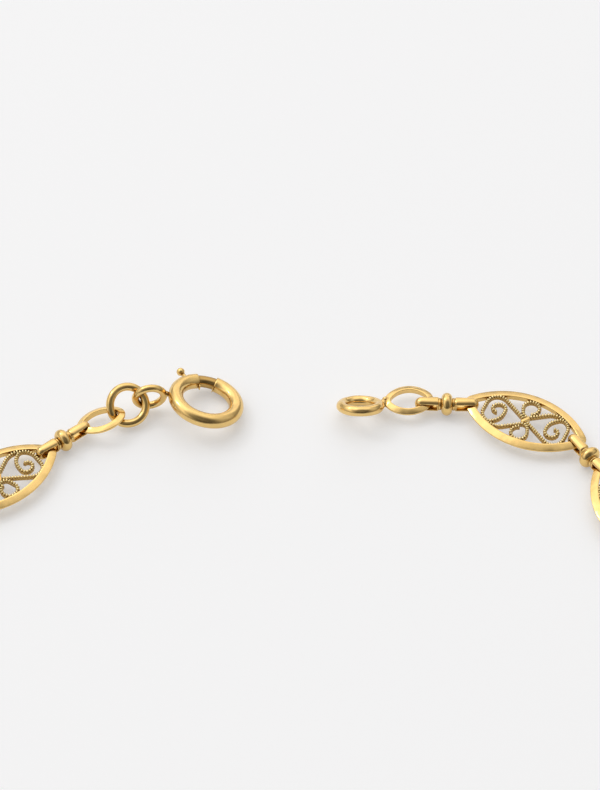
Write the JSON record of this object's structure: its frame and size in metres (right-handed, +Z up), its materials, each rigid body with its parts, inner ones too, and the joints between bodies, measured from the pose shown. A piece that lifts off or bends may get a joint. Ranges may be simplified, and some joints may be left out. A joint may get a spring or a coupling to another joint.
{
  "type": "filigree chain necklace",
  "caption": "Antique gold chain necklace of pierced marquise filigree links joined by turned connectors, with a bolt ring clasp, laid open on a surface.",
  "frame": {"origin": "under the middle of the whole necklace as it lies, on the surface it lies on", "axes": "+Z up from the surface, +Y towards the far side of the loop with the two open ends, +X towards the end that has the round end ring"},
  "size_m": [0.1362, 0.1492, 0.0052],
  "materials": {
    "gold": "polished"
  },
  "bodies": {
    "necklace": {"filigree_link_1": "gold", "filigree_link_2": "gold", "filigree_link_3": "gold", "filigree_link_4": "gold", "filigree_link_5": "gold", "filigree_link_6": "gold", "filigree_link_7": "gold", "filigree_link_8": "gold", "filigree_link_9": "gold", "filigree_link_10": "gold", "filigree_link_11": "gold", "filigree_link_12": "gold", "filigree_link_13": "gold", "filigree_link_14": "gold", "filigree_link_15": "gold", "filigree_link_16": "gold", "filigree_link_17": "gold", "filigree_link_18": "gold", "connector_1": "gold", "connector_2": "gold", "connector_3": "gold", "connector_4": "gold", "connector_5": "gold", "connector_6": "gold", "connector_7": "gold", "connector_8": "gold", "connector_9": "gold", "connector_10": "gold", "connector_11": "gold", "connector_12": "gold", "connector_13": "gold", "connector_14": "gold", "connector_15": "gold", "connector_16": "gold", "connector_17": "gold", "connector_18": "gold", "connector_19": "gold", "end_piece": "gold", "plain_oval": "gold", "jump_ring": "gold", "clasp_ring": "gold"},
    "bolt": {"clasp_bolt": "gold"}
  },
  "joints": [
    {"name": "bolt_slide", "type": "hinge", "parent": "necklace", "child": "bolt", "pos_m": [-0.00214, 0.06879, 0.00234], "axis": [0.2491, 0.2061, 0.9463], "range_deg": [0, 38], "stiffness_Nm_per_rad": 0.003, "springref_deg": -34.38}
  ]
}
